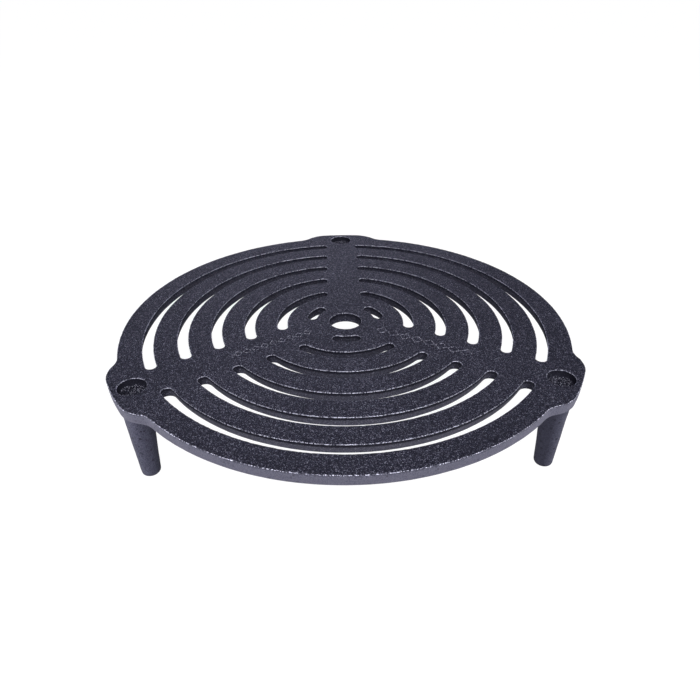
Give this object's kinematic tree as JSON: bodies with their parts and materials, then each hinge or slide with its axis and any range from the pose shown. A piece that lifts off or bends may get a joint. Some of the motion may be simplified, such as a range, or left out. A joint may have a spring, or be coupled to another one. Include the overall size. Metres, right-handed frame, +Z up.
{
  "type": "cast iron stacking grate",
  "caption": "Round cast-iron grate with concentric ring slots, a centre hole and tapered legs under lugs whose top recesses take the feet of another grate.",
  "frame": {"origin": "centre of the bounding box on the plane that the feet stand on; the plate's own axis is 4 mm forward of it, at y = -0.004", "axes": "+Z up, +Y toward the rear leg, +X to the right seen from the front"},
  "size_m": [0.3, 0.308, 0.067],
  "materials": {
    "plate_iron": "dark blue-black seasoned casting with a fine sand grain",
    "leg_iron": "the same casting skin, a little smoother and greyer"
  },
  "bodies": {
    "root": {"grate_plate": "plate_iron", "rear_leg": "leg_iron", "left_leg": "leg_iron", "right_leg": "leg_iron"}
  },
  "joints": []
}
